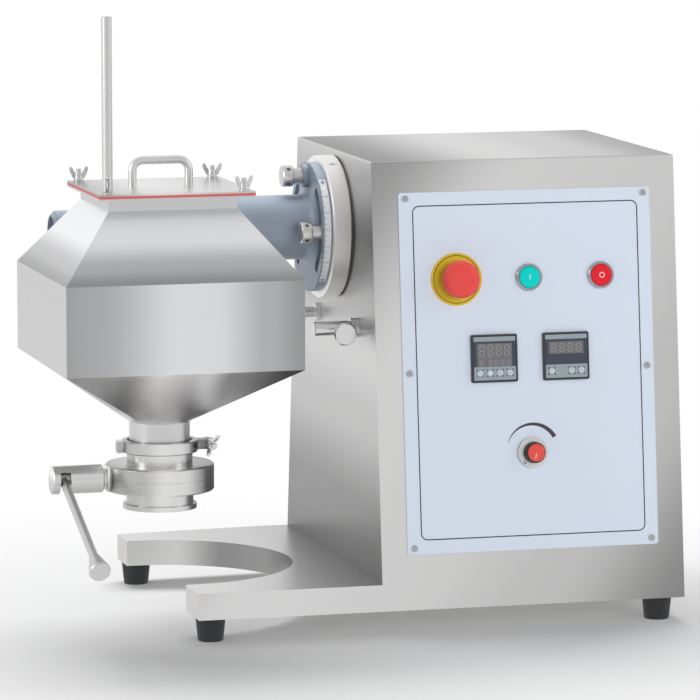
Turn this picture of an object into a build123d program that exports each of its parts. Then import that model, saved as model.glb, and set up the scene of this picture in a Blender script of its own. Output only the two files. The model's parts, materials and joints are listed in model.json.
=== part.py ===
from build123d import *
import os
from math import atan, cos, degrees, pi, radians, sin, sqrt, tan

os.makedirs("parts", exist_ok=True)

# Laboratory octagonal blender: a tilting drive arm carries a turning vessel.
# Millimetres. X runs from the vessel to the drive cabinet, Y to the back, Z up.
# The origin is on the table, under the middle of the whole machine.

# cabinet and base
wall_x = 12.0
cabinet_w = 336.0
cabinet_y = 76.0
foot_h = 25.0
base_t = 28.0
base_reach = 200.0
base_depth = 408.0
cabinet_top = 498.0
top_depth = 306.0
sheet = 2.0
edge_r = 2.5
cut_r = 142.0
cut_x = -181.0
cut_y = 74.0
back_taper = 16.0
foot_top_r = 16.0
foot_low_r = 13.5
foot_in_x = 17.0
foot_in_y = 20.0

# front panel
panel_z = 274.0
panel_w = 279.0
panel_l = 383.0
panel_t = 1.5
panel_screw_u = 132.0
panel_screw_v = 185.0
screw_head_r = 3.7
screw_r = 1.9
hole_gap = 0.2
button_v = 98.5
estop_u = -78.0
start_u = 2.0
stop_u = 82.0
meter_u1 = -39.0
meter_u2 = 40.6
meter_v = 13.4
meter_face = 51.0
meter_body = 44.6
meter_depth = 62.0
knob_u = 1.0
knob_v = -88.0

# tilting drive arm
arm_y = 68.0
arm_z = 415.0
disc_r = 77.0
disc_t = 20.0
disc_gap = 1.5
flange_r = 70.0
flange_t = 9.8
turn_gap = 0.2
stud_pcd_r = 55.5
stud_r = 5.0
slot_half = 6.0
tilt_limit = 45.0
tube_r = 35.0
tube_wall = 8.0
arm_end_r = 25.0
arm_end_x = -302.0
register_r = 28.0
register_t = 5.0
run_gap = 0.05
fit_gap = 0.1

# vessel
vessel_x = -223.0
vessel_y = -99.0
spin_z = 346.0
belt = 250.0
belt_h = 93.0
neck = 136.0
shoulder_h = 70.0
collar_h = 12.0
lid_x = 164.0
lid_y = 160.0
lid_shift = 2.5
rim_t = 2.0
gasket_t = 2.5
lid_t = 2.0
vessel_wall = 2.0
cone_h = 65.0
outlet_r = 31.75
outlet_wall = 1.65
stud_x = 72.0
stud_y = 70.0
lid_stud_r = 2.5
lid_stud_h = 13.0

# outlet clamp and valve
ferrule_z = 208.5
ferrule_r = 36.0
ferrule_t = 3.0
seal_t = 1.6
band_h = 12.4
band_r = 40.0
stub_r = 34.5
valve_r = 57.0
valve_top = 190.0
valve_low = 162.0
spigot_r = 35.3
end_flange_r = 38.75
end_flange_t = 5.0
outlet_z = 143.0

# derived places
base_top = foot_h + base_t
cabinet_x = wall_x + cabinet_w / 2
slope = (base_depth - top_depth) / 2 / (cabinet_top - foot_h)
lean = atan(slope)
bore_r = outlet_r - outlet_wall


def front_y(z):
    return cabinet_y - base_depth / 2 + slope * (z - foot_h)


def back_y(z):
    return cabinet_y + base_depth / 2 - slope * (z - foot_h)


def rod(point, way, radius, length):
    # a round bar that starts at a point and runs one way
    return Plane(origin=point, z_dir=way) * Cylinder(
        radius, length, align=(Align.CENTER, Align.CENTER, Align.MIN)
    )


def ring(point, way, outer, inner, length):
    return rod(point, way, outer, length) - rod(point, way, inner, length)


def block(x0, x1, y0, y1, z0, z1):
    return Pos((x0 + x1) / 2, (y0 + y1) / 2, (z0 + z1) / 2) * Box(x1 - x0, y1 - y0, z1 - z0)


def turned(plane, points):
    # a solid of revolution about the plane's local Y, from radius and height pairs
    face = make_face(Polyline(*points, close=True))
    solid = revolve(face, Axis.Y)
    return plane * Rot(90, 0, 0) * solid


front = Plane(
    origin=(cabinet_x, front_y(panel_z), panel_z),
    x_dir=(1, 0, 0),
    z_dir=(0, -cos(lean), sin(lean)),
)
back = Plane(
    origin=(cabinet_x, back_y(panel_z), panel_z),
    x_dir=(-1, 0, 0),
    z_dir=(0, cos(lean), sin(lean)),
)
nodes = {}


def on_front(u, v, w0, w1, radius):
    return front * Pos(u, v, w0) * Cylinder(
        radius, w1 - w0, align=(Align.CENTER, Align.CENTER, Align.MIN)
    )


# cabinet: an upright that leans in at front and back, on a base with two arms
right_x = wall_x + cabinet_w
left_x = wall_x - base_reach


def side_profile(inset, z0, z1):
    off = inset / cos(lean)
    return make_face(
        Polyline(
            (front_y(z0) + off, z0),
            (back_y(z0) - off, z0),
            (back_y(z1) - off, z1),
            (front_y(z1) + off, z1),
            close=True,
        )
    )


def side_prism(inset, z0, z1, x0, x1):
    side = Plane(origin=(x0, 0, 0), x_dir=(0, 1, 0), z_dir=(1, 0, 0))
    return extrude(side * side_profile(inset, z0, z1), amount=x1 - x0)


upright = side_prism(0, foot_h, cabinet_top, wall_x, right_x)
upright = fillet(upright.edges().group_by(Axis.Z)[-1], edge_r)
taper_cut = extrude(
    Plane.XY.offset(foot_h - 5)
    * make_face(
        Polyline(
            (wall_x, back_y(foot_h)),
            (left_x - 1, back_y(foot_h) - back_taper),
            (left_x - 1, back_y(foot_h) + 5),
            (wall_x, back_y(foot_h) + 5),
            close=True,
        )
    ),
    amount=base_t + 10,
)
taper_in = Pos(0, -sheet, 0) * taper_cut
base = side_prism(0, foot_h, base_top, left_x, right_x) - taper_cut
base -= rod((cut_x, cut_y, foot_h - 1), (0, 0, 1), cut_r, base_t + 2)
hollow = side_prism(sheet, foot_h - 1, cabinet_top - sheet, wall_x + sheet, right_x - sheet)
base_hollow = side_prism(sheet, foot_h - 1, base_top - sheet, left_x + sheet, right_x - sheet)
base_hollow -= taper_in
base_hollow -= rod((cut_x, cut_y, foot_h - 2), (0, 0, 1), cut_r + sheet, base_t + 4)
shell = (upright + base) - hollow - base_hollow
shell -= rod((wall_x - 1, arm_y, arm_z), (1, 0, 0), register_r, sheet + 2)

lever_y = -25.0
lever_z = 315.5
bush_r = 10.5
bush_stem_r = 8.0
sensor_y = 137.0
sensor_z = 313.0
sensor_r = 6.0
shell -= rod((wall_x - 1, lever_y, lever_z), (1, 0, 0), bush_stem_r + fit_gap, sheet + 2)
shell -= rod((wall_x - 1, sensor_y, sensor_z), (1, 0, 0), sensor_r, sheet + 2)

collar_stem_r = 11.0
for u in (estop_u, start_u, stop_u):
    shell -= on_front(u, button_v, -2 * sheet, 1, collar_stem_r + fit_gap)
for u in (meter_u1, meter_u2):
    shell -= front * Pos(u, meter_v, 0) * Box(meter_body, meter_body, 4 * sheet)
pot_r = 4.5
shell -= on_front(knob_u, knob_v, -2 * sheet, 1, pot_r + fit_gap)
screw_spots = [(u, v) for u in (-panel_screw_u, panel_screw_u) for v in (-panel_screw_v, 0, panel_screw_v)]
for u, v in screw_spots:
    shell -= on_front(u, v, -2 * sheet, 1, screw_r + hole_gap)

cover_side = 48.0
cover_w = cabinet_w - 2 * cover_side
cover_l = 330.0
cover_t = 1.5
cover_margin = 14.0
shell -= back * Box(cover_w - 2 * cover_margin, cover_l - 2 * cover_margin, 4 * sheet)
cover_spots = [
    (u, v)
    for u in (-(cover_w - cover_margin) / 2, (cover_w - cover_margin) / 2)
    for v in (-(cover_l - cover_margin) / 2, 0, (cover_l - cover_margin) / 2)
]
for u, v in cover_spots:
    shell -= back * Pos(u, v, 0) * Cylinder(screw_r + hole_gap, 4 * sheet)
gland_r = 8.0
gland_z = 122.0
gland_x = right_x - cover_side / 2
gland = Plane(
    origin=(gland_x, back_y(gland_z), gland_z), x_dir=(-1, 0, 0), z_dir=(0, cos(lean), sin(lean))
)
shell -= gland * Cylinder(gland_r, 4 * sheet)
nodes["cabinet_shell"] = shell

plate = side_prism(sheet + 0.1, foot_h, foot_h + sheet, left_x + sheet + 0.1, right_x - sheet - 0.1)
plate -= Pos(0, -sheet - 0.1, 0) * taper_cut
plate -= rod((cut_x, cut_y, foot_h - 1), (0, 0, 1), cut_r + sheet + 0.1, sheet + 2)
nodes["base_plate"] = plate

nodes["back_cover"] = back * extrude(RectangleRounded(cover_w, cover_l, 4), cover_t)
for u, v in cover_spots:
    nodes["back_cover"] -= back * Pos(u, v, 0) * Cylinder(screw_r + hole_gap, 4 * cover_t)

# the cable gland in the back, low on the right
gland_hex = 11.0
gland_cap = 5.0
nodes["cable_gland"] = gland * (
    Pos(0, 0, -12) * Cylinder(gland_r - run_gap, 12, align=(Align.CENTER, Align.CENTER, Align.MIN))
    + extrude(RegularPolygon(gland_hex, 6), 4)
    + Pos(0, 0, 4) * Cone(gland_hex - 2.5, 6.0, gland_cap, align=(Align.CENTER, Align.CENTER, Align.MIN))
    - Pos(0, 0, -14) * Cylinder(3.6, 40, align=(Align.CENTER, Align.CENTER, Align.MIN))
)

feet = []
foot_front_y = front_y(foot_h) + foot_in_y
foot_back_y = back_y(foot_h) - foot_in_y
foot_spots = [
    (left_x + foot_in_x, foot_front_y),
    (left_x + foot_in_x, foot_back_y - back_taper + 2),
    (right_x - foot_in_x - 8, foot_front_y),
    (right_x - foot_in_x - 8, foot_back_y),
]
for x, y in foot_spots:
    foot = Pos(x, y, 0) * Cone(foot_low_r, foot_top_r, foot_h, align=(Align.CENTER, Align.CENTER, Align.MIN))
    feet.append(fillet(foot.edges().group_by(Axis.Z)[0], 1.5))
nodes["rubber_feet"] = Compound(feet)

# front panel and what is mounted in it
panel = front * extrude(RectangleRounded(panel_w, panel_l, 3), panel_t)
for u in (estop_u, start_u, stop_u):
    panel -= on_front(u, button_v, -1, panel_t + 1, collar_stem_r + fit_gap)
for u in (meter_u1, meter_u2):
    panel -= front * Pos(u, meter_v, 0) * Box(meter_body, meter_body, 4 * panel_t)
panel -= on_front(knob_u, knob_v, -1, panel_t + 1, pot_r + fit_gap)
for u, v in screw_spots:
    panel -= on_front(u, v, -1, panel_t + 1, screw_r + hole_gap)
nodes["control_panel"] = panel


def pan_screw(plane, u, v, seat, depth):
    # a low domed head with a cross recess, on a plain shank
    head = Pos(0, 0, seat) * Cylinder(
        screw_head_r, 2.2, align=(Align.CENTER, Align.CENTER, Align.MIN)
    )
    head = fillet(head.edges().group_by(Axis.Z)[-1], 1.4)
    for turn in (0, 90):
        head -= Pos(0, 0, seat + 1.5) * Rot(0, 0, turn) * Box(
            3.6, 0.9, 2, align=(Align.CENTER, Align.CENTER, Align.MIN)
        )
    shank = Pos(0, 0, seat - depth) * Cylinder(
        screw_r, depth, align=(Align.CENTER, Align.CENTER, Align.MIN)
    )
    return plane * Pos(u, v, 0) * (head + shank)


nodes["cover_screws"] = Compound(
    [pan_screw(front, u, v, panel_t, 9) for u, v in screw_spots]
    + [pan_screw(back, u, v, cover_t, 9) for u, v in cover_spots]
)

# emergency stop: yellow ring, fixed collar and a mushroom that is pushed in
estop_plate_r = 28.0
estop_plate_t = 1.5
estop_collar_r = 15.0
estop_collar_h = 9.0
estop_stem_r = 8.0
estop_travel = 4.0
mushroom_r = 20.0
mushroom_top = 30.0
seat_w = panel_t + estop_plate_t
nodes["estop_plate"] = on_front(estop_u, button_v, panel_t, seat_w, estop_plate_r) - on_front(
    estop_u, button_v, panel_t - 1, seat_w + 1, collar_stem_r + fit_gap
)
collar = on_front(estop_u, button_v, seat_w, seat_w + estop_collar_h, estop_collar_r)
collar += on_front(estop_u, button_v, -22, seat_w, collar_stem_r)
collar += front * Pos(estop_u, button_v, -44) * Box(30, 40, 24, align=(Align.CENTER, Align.CENTER, Align.MIN))
collar -= on_front(estop_u, button_v, -10, seat_w + estop_collar_h + 1, estop_stem_r + fit_gap)
nodes["estop_collar"] = collar
cap_low = seat_w + estop_collar_h + estop_travel + 0.6
nodes["estop_button"] = front * Pos(estop_u, button_v, 0) * turned(
    Plane.XY,
    [
        (0, -4),
        (estop_stem_r, -4),
        (estop_stem_r, cap_low),
        (mushroom_r - 1.5, cap_low),
        (mushroom_r, cap_low + 1.5),
        (mushroom_r, cap_low + 6),
        (mushroom_r - 1.5, mushroom_top - 3),
        (mushroom_r - 6, mushroom_top - 1.2),
        (mushroom_r - 9, mushroom_top),
        (0, mushroom_top),
    ],
)

# start and stop push buttons with chrome bezels
bezel_r = 14.5
bezel_h = 4.5
bezel_floor = 0.7
cap_r = 11.6
cap_stem_r = 6.0
cap_under = 5.0
button_travel = 2.5
button_face = 8.0
bezels = []
for u in (start_u, stop_u):
    bezel = on_front(u, button_v, panel_t, panel_t + bezel_h, bezel_r)
    bezel = chamfer(bezel.edges().filter_by(GeomType.CIRCLE).sort_by(Axis.Y)[0], 0.9)
    bezel += on_front(u, button_v, -24, panel_t, collar_stem_r)
    bezel += front * Pos(u, button_v, -44) * Box(26, 36, 21, align=(Align.CENTER, Align.CENTER, Align.MIN))
    bezel -= on_front(u, button_v, panel_t + bezel_floor, panel_t + bezel_h + 1, cap_r + fit_gap)
    bezel -= on_front(u, button_v, -12, panel_t + 1, cap_stem_r + fit_gap)
    bezels.append(bezel)
nodes["push_bezels"] = Compound(bezels)
for name, u in (("start_button", start_u), ("stop_button", stop_u)):
    nodes[name] = front * Pos(u, button_v, 0) * turned(
        Plane.XY,
        [
            (0, -6),
            (cap_stem_r, -6),
            (cap_stem_r, cap_under),
            (cap_r, cap_under),
            (cap_r, button_face - 2),
            (cap_r - 1.5, button_face - 0.6),
            (cap_r - 5, button_face),
            (0, button_face),
        ],
    )

# two identical panel meters: case and a front film with its window and keys
meter_h = 5.5
cases = []
films = []
key_spots = {meter_u1: (-16.5, -5.5, 5.5, 16.5), meter_u2: (-16.5, 5.5, 16.5)}
film_size = 46.0
film_t = 1.0
window_w = 40.0
window_h = 27.0
window_v = 4.9
window_deep = 0.3
strip_v = -15.5
for u in (meter_u1, meter_u2):
    case = front * Pos(u, meter_v, panel_t) * extrude(
        RectangleRounded(meter_face, meter_face, 2), meter_h - panel_t
    )
    case += front * Pos(u, meter_v, panel_t - meter_depth) * Box(
        meter_body, meter_body, meter_depth, align=(Align.CENTER, Align.CENTER, Align.MIN)
    )
    case -= front * Pos(u, meter_v, meter_h) * Box(film_size, film_size, 2 * film_t)
    cases.append(case)
    film = front * Pos(u, meter_v, meter_h - film_t / 2) * Box(film_size, film_size, film_t)
    film -= front * Pos(u, meter_v + window_v, meter_h) * Box(window_w, window_h, 2 * window_deep)
    for k in key_spots[u]:
        film += front * Pos(u + k, meter_v + strip_v, meter_h - film_t) * Cylinder(
            3.1, film_t + 0.6, align=(Align.CENTER, Align.CENTER, Align.MIN)
        )
    films.append(film)
nodes["meter_cases"] = Compound(cases)
nodes["meter_faces"] = Compound(films)

# speed knob on the shaft of a rotary control
skirt_r = 16.5
knob_r = 11.5
knob_h = 17.0
shaft_r = 3.0
flutes = 18
nodes["speed_control"] = (
    on_front(knob_u, knob_v, -14, -sheet - 0.2, 12)
    + on_front(knob_u, knob_v, -sheet - 0.2, panel_t, pot_r)
    + front * Pos(knob_u, knob_v, panel_t) * extrude(RegularPolygon(6.5, 6), 2)
    - on_front(knob_u, knob_v, -10, 10, shaft_r + fit_gap)
)
knob = on_front(knob_u, knob_v, panel_t + 2.5, panel_t + 4.5, skirt_r)
knob += on_front(knob_u, knob_v, panel_t + 4.5, knob_h, knob_r)
for k in range(flutes):
    a = 2 * pi * k / flutes
    knob -= on_front(
        knob_u + (knob_r + 0.5) * cos(a), knob_v + (knob_r + 0.5) * sin(a), panel_t + 5.5, knob_h + 1, 1.2
    )
knob += on_front(knob_u, knob_v, -9, knob_h - 4, shaft_r)
cap_inlay_r = 9.0
knob -= on_front(knob_u, knob_v, knob_h - 1, knob_h + 1, cap_inlay_r)
nodes["speed_knob"] = knob
nodes["speed_cap"] = on_front(knob_u, knob_v, knob_h - 1, knob_h + 0.4, cap_inlay_r - run_gap)

# fixed mounting disc on the cabinet wall, with a register and two long welded studs
disc_x = wall_x - disc_gap
face_x = disc_x - disc_t
disc = Plane(origin=(face_x, arm_y, arm_z), z_dir=(1, 0, 0)) * Cylinder(
    disc_r, disc_t, align=(Align.CENTER, Align.CENTER, Align.MIN)
)
disc = chamfer(disc.edges().filter_by(GeomType.CIRCLE), 1.0)
disc += rod((disc_x, arm_y, arm_z), (1, 0, 0), disc_r - 5, disc_gap)
disc += rod((face_x - register_t, arm_y, arm_z), (1, 0, 0), register_r, register_t)
shaft_main_r = 12.0
bearing_r = 22.0
bearing_w = 12.0
disc -= rod((face_x - register_t - 1, arm_y, arm_z), (1, 0, 0), shaft_main_r + 2, disc_t + 20)
disc -= rod((wall_x - bearing_w, arm_y, arm_z), (1, 0, 0), bearing_r, bearing_w + 5)
side_y = {"front": arm_y - stud_pcd_r, "rear": arm_y + stud_pcd_r}
nut_collar_r = 8.6
nut_collar_l = 10.5
nut_head_r = 11.5
nut_head_l = 12.0
boss_t = 6.0
flange_x = face_x - turn_gap - flange_t
disc_bolt_pcd = 62.0
disc_bolt_r = 4.0
bolt_angles = [45, 135, 225, 315]
for a in bolt_angles:
    y = arm_y + disc_bolt_pcd * cos(radians(a))
    z = arm_z + disc_bolt_pcd * sin(radians(a))
    disc -= rod((face_x + 8, y, z), (1, 0, 0), disc_bolt_r + fit_gap, disc_t)
    nodes["cabinet_shell"] -= rod((wall_x - 1, y, z), (1, 0, 0), disc_bolt_r + fit_gap, sheet + 2)
stud_tip_x = flange_x - nut_collar_l - nut_head_l + 3
for y in side_y.values():
    disc += rod((stud_tip_x, y, arm_z), (1, 0, 0), stud_r, face_x + 2 - stud_tip_x)
nodes["mounting_disc"] = disc
hub_plate = 90.0
plate_t = 6.0
bolts = []
for a in bolt_angles:
    y = arm_y + disc_bolt_pcd * cos(radians(a))
    z = arm_z + disc_bolt_pcd * sin(radians(a))
    bolt = rod((face_x + 8, y, z), (1, 0, 0), disc_bolt_r, wall_x + sheet + plate_t - face_x - 8)
    hexagon = Plane(origin=(wall_x + sheet + plate_t, y, z), z_dir=(1, 0, 0)) * extrude(RegularPolygon(7.2, 6), 5)
    bolts.append(bolt + hexagon)
nodes["disc_bolts"] = Compound(bolts)


def capstan(x, y, z, stud_hole):
    # knurled clamp nut with four bar holes; its collar seats at x and it grows to the left
    collar = rod((x - nut_collar_l, y, z), (1, 0, 0), nut_collar_r, nut_collar_l)
    head = rod((x - nut_collar_l - nut_head_l, y, z), (1, 0, 0), nut_head_r, nut_head_l)
    head = chamfer(head.edges().filter_by(GeomType.CIRCLE), 1.0)
    nut = collar + head
    mid = x - nut_collar_l - nut_head_l / 2
    for k in range(4):
        a = pi / 4 + k * pi / 2
        nut -= rod((mid, y, z), (0, cos(a), sin(a)), 2.2, nut_head_r + 1) - rod(
            (mid - 10, y, z), (1, 0, 0), nut_head_r - 4.5, 20
        )
    if stud_hole:
        nut -= rod((x - nut_collar_l - nut_head_l + 2, y, z), (1, 0, 0), stud_r + fit_gap, 60)
    return nut


nut_seat = flange_x - 0.1
nodes["clamp_nut_front"] = capstan(nut_seat, side_y["front"], arm_z, True)
nodes["clamp_nut_rear"] = capstan(nut_seat, side_y["rear"], arm_z, True)
top_seat = flange_x - boss_t - 0.1
# the locking screw stands backed off, so the arm is free to tilt
screw_back = 4.5
top_z = arm_z + stud_pcd_r
nodes["clamp_screw_top"] = capstan(top_seat, arm_y, top_z, False) + rod(
    (top_seat, arm_y, top_z), (1, 0, 0), stud_r, boss_t + flange_t - screw_back
)

# inside the cabinet: gear motor on a bracket plate, its shaft and the shaft bearing
bracket = block(
    wall_x + sheet, wall_x + sheet + plate_t, arm_y - hub_plate + 5, arm_y + hub_plate - 5,
    arm_z - hub_plate, arm_z + 72,
)
bracket_cut = 2 * (sheet + plate_t)
bracket -= rod((wall_x, arm_y, arm_z), (1, 0, 0), register_r, bracket_cut)
for a in bolt_angles:
    y = arm_y + disc_bolt_pcd * cos(radians(a))
    z = arm_z + disc_bolt_pcd * sin(radians(a))
    bracket -= rod((wall_x, y, z), (1, 0, 0), disc_bolt_r + fit_gap, bracket_cut)
nodes["motor_bracket"] = bracket
motor_x = wall_x + sheet + plate_t
box_l = 62.0
motor_r = 48.0
motor_l = 150.0
motor = rod((motor_x, arm_y, arm_z), (1, 0, 0), 40.0, 8.0)
motor += block(motor_x + 8, motor_x + box_l, arm_y - 40, arm_y + 40, arm_z - 52, arm_z + 40)
motor += rod((motor_x + box_l, arm_y, arm_z), (1, 0, 0), motor_r, motor_l)
motor += rod((motor_x + box_l + motor_l, arm_y, arm_z), (1, 0, 0), motor_r - 3, 28)
motor += block(
    motor_x + box_l + 30, motor_x + box_l + 95, arm_y - 30, arm_y + 30, arm_z, arm_z + motor_r + 14
)
motor -= rod((motor_x - 1, arm_y, arm_z), (1, 0, 0), shaft_main_r + run_gap, box_l - 12)
nodes["gear_motor"] = motor
nodes["shaft_bearing"] = ring(
    (wall_x - bearing_w, arm_y, arm_z), (1, 0, 0), bearing_r - run_gap, shaft_main_r + run_gap, bearing_w
)
joint_x = face_x - 8
nodes["drive_shaft"] = rod(
    (joint_x, arm_y, arm_z), (1, 0, 0), shaft_main_r, motor_x + box_l - 16 - joint_x
)

# wall lever: bushing in the wall, hub along X and a short arm with a bell knob
bush_l = 9.0
hub_r = 7.6
hub_end = -37.0
bush_in = 14.0
pivot_r = 5.0
pivot_in = 22.0
nodes["lever_bushing"] = (
    rod((wall_x - bush_l, lever_y, lever_z), (1, 0, 0), bush_r, bush_l)
    + rod((wall_x, lever_y, lever_z), (1, 0, 0), bush_stem_r, bush_in)
    - rod((wall_x - 2 * bush_l, lever_y, lever_z), (1, 0, 0), pivot_r + fit_gap, 3 * bush_l + bush_in)
)
lever_x = -10.0
lever_l = 33.0
droop = radians(5.0)
hub = rod((hub_end, lever_y, lever_z), (1, 0, 0), hub_r, wall_x - bush_l - 0.3 - hub_end)
hub = chamfer(hub.edges().filter_by(GeomType.CIRCLE), 0.6)
hub += rod((lever_x, lever_y, lever_z), (1, 0, 0), pivot_r, wall_x + pivot_in - lever_x)
neck_r = 5.0
bell_r = 12.5
grip = Plane(origin=(lever_x, lever_y, lever_z), z_dir=(0, -cos(droop), -sin(droop))) * turned(
    Plane.XY,
    [
        (0, 0),
        (neck_r, 0),
        (neck_r, lever_l - 21),
        (neck_r + 2, lever_l - 15),
        (bell_r - 1.5, lever_l - 7),
        (bell_r, lever_l - 3),
        (bell_r, lever_l - 1.5),
        (bell_r - 1.5, lever_l),
        (0, lever_l),
    ],
)
nodes["wall_lever"] = hub + grip

sensor_out = 17.0
sensor_l = 50.0
nodes["wall_sensor"] = rod((wall_x - sensor_out, sensor_y, sensor_z), (1, 0, 0), sensor_r - run_gap, sensor_l)
nodes["wall_sensor"] += Plane(origin=(wall_x - 5, sensor_y, sensor_z), z_dir=(1, 0, 0)) * extrude(
    RegularPolygon(10.2, 6), 5
)

# tilting arm: flange with arc slots, filleted hub, tube and gearbox housing in one casting
wheel_r = 50.0
wheel_w = 26.0
worm_r = 18.0
worm_shaft_r = 10.0
cavity_r = wheel_r + 4
case_wall = 6.0
case_half = 28.0
case_front = arm_y - case_half
case_back = arm_y + case_half
profile = [
    (register_r + fit_gap, face_x - turn_gap),
    (flange_r, face_x - turn_gap),
    (flange_r, flange_x),
    (tube_r + 9, flange_x),
    (tube_r + 4, flange_x - 2.5),
    (tube_r + 1, flange_x - 6.5),
    (tube_r, flange_x - 12),
    (tube_r, vessel_x + 62),
    (arm_end_r, vessel_x + 52),
    (arm_end_r, arm_end_x + 4),
    (arm_end_r - 4, arm_end_x),
    (0, arm_end_x),
    (0, face_x - turn_gap - register_t - 0.3),
    (register_r + fit_gap, face_x - turn_gap - register_t - 0.3),
]


def turned_x(points):
    face = make_face(Polyline(*[(x, r) for r, x in points], close=True))
    return Pos(0, arm_y, arm_z) * revolve(face, Axis.X)


arm = turned_x(profile)
case = rod((vessel_x, case_front, spin_z), (0, 1, 0), cavity_r + case_wall, 2 * case_half)
neck_block = block(
    vessel_x - 40, vessel_x + 40, arm_y - arm_end_r, arm_y + arm_end_r, spin_z, arm_z
)
arm += case + neck_block
boss = rod((flange_x - boss_t, arm_y, top_z), (1, 0, 0), 12.5, boss_t + 2)
arm += boss
slot_span = tilt_limit + 0.5
for side in (0, 180):
    arc = CenterArc((0, 0), stud_pcd_r, side - slot_span, 2 * slot_span)
    seat = Plane(origin=(flange_x - 1, arm_y, arm_z), x_dir=(0, 1, 0), z_dir=(1, 0, 0))
    arm -= extrude(seat * SlotArc(arc, 2 * slot_half), flange_t + 2)
arm -= rod((flange_x - boss_t - 2, arm_y, top_z), (1, 0, 0), stud_r + fit_gap, 40)
tube_bore = tube_r - tube_wall
tube_in = vessel_x + 76.0
arm -= rod((tube_in, arm_y, arm_z), (1, 0, 0), tube_bore, face_x + flange_t - tube_in)
worm_bore = worm_r + 3
arm -= rod((arm_end_x + 12, arm_y, arm_z), (1, 0, 0), worm_bore, vessel_x + 78 - arm_end_x - 12)
arm -= rod((arm_end_x - 1, arm_y, arm_z), (1, 0, 0), worm_bore - 2, 8)
arm -= rod((vessel_x, case_front + case_wall, spin_z), (0, 1, 0), cavity_r, 2 * case_half)
out_r = 15.0
out_bearing_r = 24.0
arm -= rod((vessel_x, case_front - 1, spin_z), (0, 1, 0), out_bearing_r, 10)
arm -= turned_x(
    [(0, face_x - turn_gap), (register_r + fit_gap, face_x - turn_gap), (register_r + fit_gap, face_x - turn_gap - register_t - 0.3), (0, face_x - turn_gap - register_t - 0.3)]
)
nodes["arm_casting"] = arm

cap = rod((vessel_x, case_back, spin_z), (0, 1, 0), cavity_r + case_wall - 1, 4)
cap += rod((vessel_x, case_back - 8, spin_z), (0, 1, 0), cavity_r - fit_gap, 8)
cap -= rod((vessel_x, case_back - 9, spin_z), (0, 1, 0), out_bearing_r, 10)
nodes["gearbox_cover"] = cap
nodes["gear_bearings"] = Compound(
    [
        ring((vessel_x, case_front, spin_z), (0, 1, 0), out_bearing_r - run_gap, out_r + run_gap, case_wall),
        ring((vessel_x, case_back - 8, spin_z), (0, 1, 0), out_bearing_r - run_gap, out_r + run_gap, 9),
        ring((arm_end_x + 13, arm_y, arm_z), (1, 0, 0), worm_bore - run_gap, worm_shaft_r + run_gap, 9),
        ring((vessel_x + 80, arm_y, arm_z), (1, 0, 0), tube_bore - run_gap, worm_shaft_r + run_gap, 11),
    ]
)
nodes["worm_shaft"] = (
    rod((arm_end_x + 14, arm_y, arm_z), (1, 0, 0), worm_shaft_r, joint_x - 0.5 - arm_end_x - 14)
    + rod((vessel_x - 32, arm_y, arm_z), (1, 0, 0), worm_r, 64)
)
nodes["worm_wheel"] = ring(
    (vessel_x, arm_y - wheel_w / 2, spin_z), (0, 1, 0), wheel_r, out_r + run_gap, wheel_w
)

# degree scale bent round the front half of the flange, with two small screws
scale_t = 0.6
scale_w = 7.0
scale_span = 51.0
scale_x0 = flange_x + (flange_t - scale_w) / 2
about_flange = Plane(origin=(scale_x0, arm_y, arm_z), x_dir=(0, -1, 0), z_dir=(1, 0, 0))
ring_band = about_flange * (
    Cylinder(flange_r + fit_gap + scale_t, scale_w, align=(Align.CENTER, Align.CENTER, Align.MIN))
    - Cylinder(flange_r + fit_gap, scale_w, align=(Align.CENTER, Align.CENTER, Align.MIN))
)
wedge_l = 2 * flange_r
wedge = about_flange * extrude(
    make_face(
        Polyline(
            (0, 0),
            (wedge_l * cos(radians(scale_span)), wedge_l * sin(radians(scale_span))),
            (wedge_l * 1.6, 0),
            (wedge_l * cos(radians(scale_span)), -wedge_l * sin(radians(scale_span))),
            close=True,
        )
    ),
    scale_w,
)
nodes["angle_scale"] = ring_band & wedge
scale_screws = []
for a in (-(scale_span - 3), scale_span - 3):
    way = (0, -cos(radians(a)), sin(radians(a)))
    r0 = flange_r - 5
    p = (scale_x0 + scale_w / 2, arm_y + r0 * way[1], arm_z + r0 * way[2])
    scale_screws.append(rod(p, way, 1.0, 5 + fit_gap + scale_t))
    q = flange_r + fit_gap + scale_t
    p = (scale_x0 + scale_w / 2, arm_y + q * way[1], arm_z + q * way[2])
    scale_screws[-1] += rod(p, way, 2.0, 1.0)
    deep = (scale_x0 + scale_w / 2, arm_y + (r0 - 1) * way[1], arm_z + (r0 - 1) * way[2])
    nodes["arm_casting"] -= rod(deep, way, 1.0 + fit_gap, 9)
    nodes["angle_scale"] -= rod(deep, way, 1.0 + fit_gap, 10)
nodes["scale_screws"] = Compound(scale_screws)

# output shaft with the flange that carries the vessel
vessel_back = vessel_y + belt / 2
pad_t = 5.0
pad_r = 42.0
out_flange_r = 34.0
out_flange_t = case_front - 2.0 - (vessel_back + pad_t)
carry_y = vessel_back + pad_t
nodes["output_shaft"] = rod((vessel_x, carry_y, spin_z), (0, 1, 0), out_flange_r, out_flange_t) + rod(
    (vessel_x, carry_y, spin_z), (0, 1, 0), out_r, case_back - 1 - carry_y
)
carry_r = 2.6
carry_pcd = 26.0
for k in range(6):
    a = pi * k / 3
    x = vessel_x + carry_pcd * cos(a)
    z = spin_z + carry_pcd * sin(a)
    nodes["output_shaft"] -= rod((x, carry_y - 1, z), (0, 1, 0), carry_r + fit_gap, out_flange_t + 2)

# vessel: square belt, sloped shoulders to a square neck, square-to-round cone to the outlet
belt_low = spin_z - belt_h / 2
belt_high = spin_z + belt_h / 2
neck_z = belt_high + shoulder_h
rim_z = neck_z + collar_h
cone_z = belt_low - cone_h
tube_end = ferrule_z + seal_t / 2


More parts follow.
